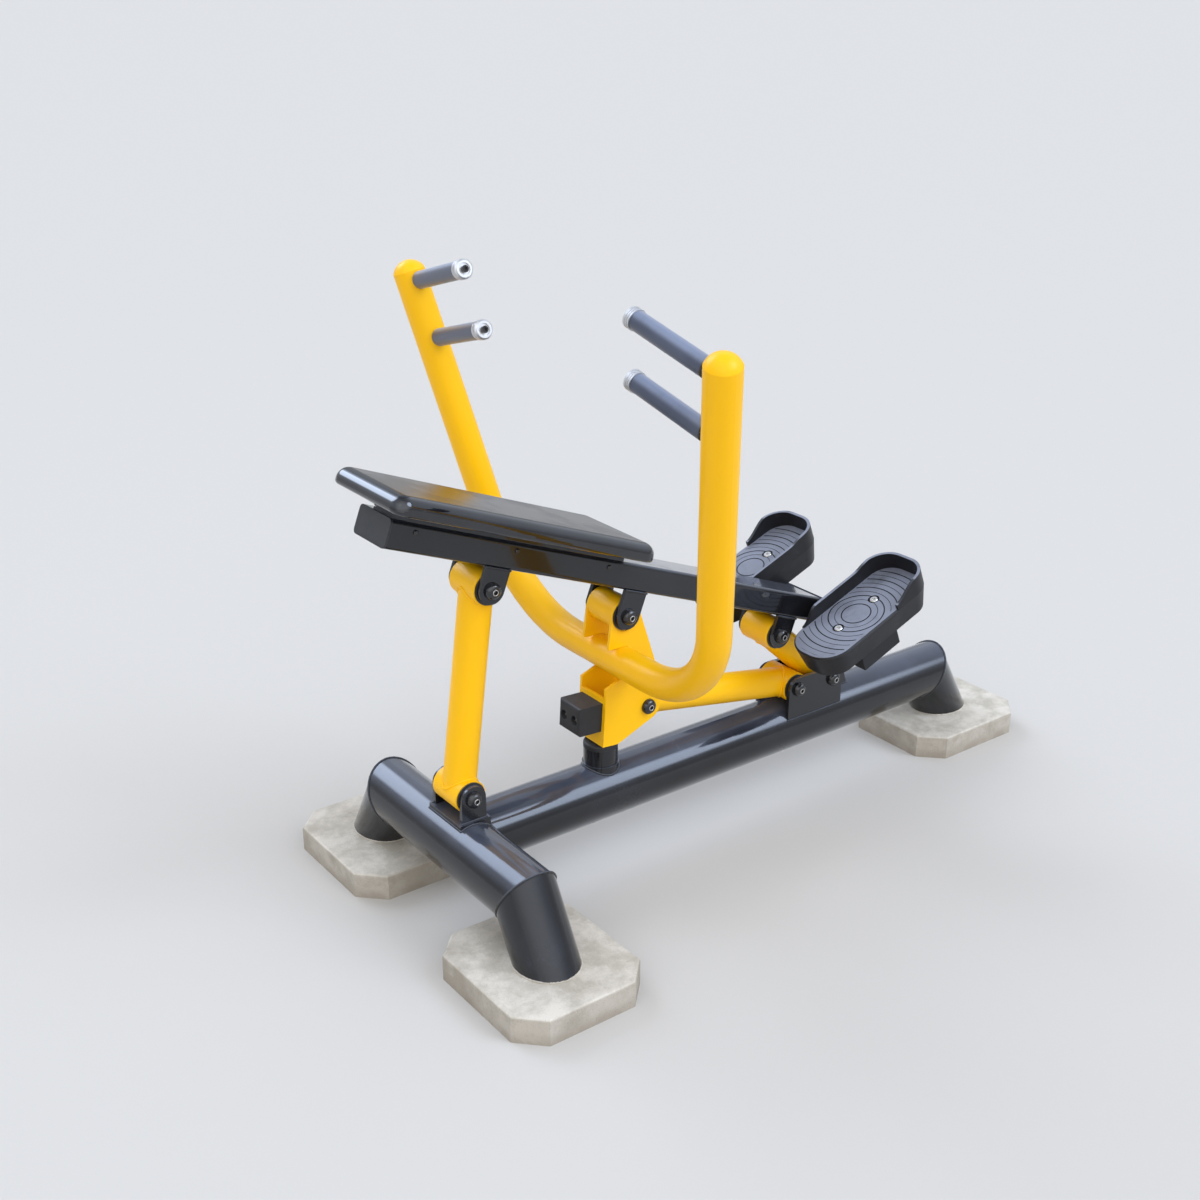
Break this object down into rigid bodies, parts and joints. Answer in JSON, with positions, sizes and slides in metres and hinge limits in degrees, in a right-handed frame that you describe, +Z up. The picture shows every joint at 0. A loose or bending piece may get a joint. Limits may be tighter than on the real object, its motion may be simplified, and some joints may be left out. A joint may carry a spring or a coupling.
{
  "type": "outdoor rowing machine",
  "caption": "Outdoor rowing machine: tube frame on plinths with a rocking seat beam, a U-shaped handle lever with grips and fixed foot pedals, joined by a pivoted linkage.",
  "frame": {"origin": "floor level, under the middle of the machine's overall box", "axes": "+X forward to the pedals, +Y to the rider's left, +Z up"},
  "size_m": [1.5586, 0.9466, 1.1289],
  "materials": {
    "black_coat": "satin",
    "yellow_coat": "gloss",
    "concrete": "matte",
    "seat_gloss": "gloss",
    "grip_rubber": "satin",
    "buffer_rubber": "matte",
    "pedal_plastic": "satin",
    "plug_plastic": "matte",
    "cap_black": "gloss",
    "bare_steel": "satin",
    "collar_metal": "satin",
    "bush_nylon": "satin"
  },
  "bodies": {
    "frame": {"rear_cross_tube": "black_coat", "spine_tube": "black_coat", "rear_leg_left": "black_coat", "rear_leg_right": "black_coat", "front_leg": "black_coat", "plinth_rear_left": "concrete", "plinth_rear_right": "concrete", "plinth_front": "concrete", "stop_stub": "black_coat", "stop_buffer": "buffer_rubber", "rear_clevis": "black_coat", "front_bracket_left": "black_coat", "front_bracket_right": "black_coat", "pedal_post": "black_coat", "pedal_crossbar": "black_coat", "pedal_blocks": "black_coat", "pedal_left": "pedal_plastic", "pedal_right": "pedal_plastic", "pedal_screws": "bare_steel", "frame_pivot_pins": "bare_steel", "frame_pivot_caps": "cap_black"},
    "rear_link": {"rear_link_tube": "yellow_coat", "rear_link_sleeves": "yellow_coat", "rear_link_bushes": "bush_nylon"},
    "seat_carriage": {"seat_beam": "black_coat", "beam_plugs": "plug_plastic", "hanger_rear": "black_coat", "hanger_middle": "black_coat", "hanger_front": "black_coat", "seat_spacer": "black_coat", "seat_panel": "seat_gloss", "seat_screws": "cap_black", "beam_pivot_pins": "bare_steel", "beam_pivot_caps": "cap_black"},
    "handle_lever": {"handle_tube": "yellow_coat", "handle_caps": "yellow_coat", "lever_cheek_left": "yellow_coat", "lever_cheek_right": "yellow_coat", "lever_sleeve": "yellow_coat", "lever_bushes": "bush_nylon", "lever_back_plate": "yellow_coat", "bumper_block": "buffer_rubber", "bumper_screws": "bare_steel", "grip_bars": "yellow_coat", "grip_upper_left": "grip_rubber", "grip_upper_right": "grip_rubber", "grip_lower_left": "grip_rubber", "grip_lower_right": "grip_rubber", "grip_collars": "collar_metal", "grip_screws": "bare_steel", "lever_pivot_pin": "bare_steel", "lever_pivot_caps": "cap_black"},
    "front_link": {"front_link_tube": "yellow_coat", "front_link_sleeves": "yellow_coat", "front_link_bushes": "bush_nylon"},
    "arm": {"arm_tube": "yellow_coat", "arm_sleeves": "yellow_coat", "arm_bushes": "bush_nylon"}
  },
  "joints": [
    {"name": "rear_link_hinge", "type": "hinge", "parent": "frame", "child": "rear_link", "pos_m": [-0.62445, 0, 0.2539], "axis": [0, 1, 0], "range_deg": [0, 8]},
    {"name": "beam_hinge", "type": "hinge", "parent": "rear_link", "child": "seat_carriage", "pos_m": [-0.5742, 0, 0.63561], "axis": [0, 1, 0], "range_deg": [-13.74, 0]},
    {"name": "lever_hinge", "type": "hinge", "parent": "seat_carriage", "child": "handle_lever", "pos_m": [-0.28532, 0, 0.51484], "axis": [0, 1, 0], "range_deg": [0, 23.05]},
    {"name": "front_link_hinge", "type": "hinge", "parent": "frame", "child": "front_link", "pos_m": [0.24655, 0, 0.2405], "axis": [0, 1, 0], "range_deg": [0, 26.99]},
    {"name": "arm_hinge", "type": "hinge", "parent": "frame", "child": "arm", "pos_m": [0.15055, 0, 0.2435], "axis": [0, 1, 0], "range_deg": [0, 1.57]}
  ],
  "couplings": [
    {"joint": "beam_hinge", "follows": "rear_link_hinge", "ratio": -1.7155},
    {"joint": "lever_hinge", "follows": "rear_link_hinge", "ratio": 2.879},
    {"joint": "front_link_hinge", "follows": "rear_link_hinge", "ratio": 3.3708},
    {"joint": "arm_hinge", "follows": "rear_link_hinge", "ratio": 0.1963}
  ]
}
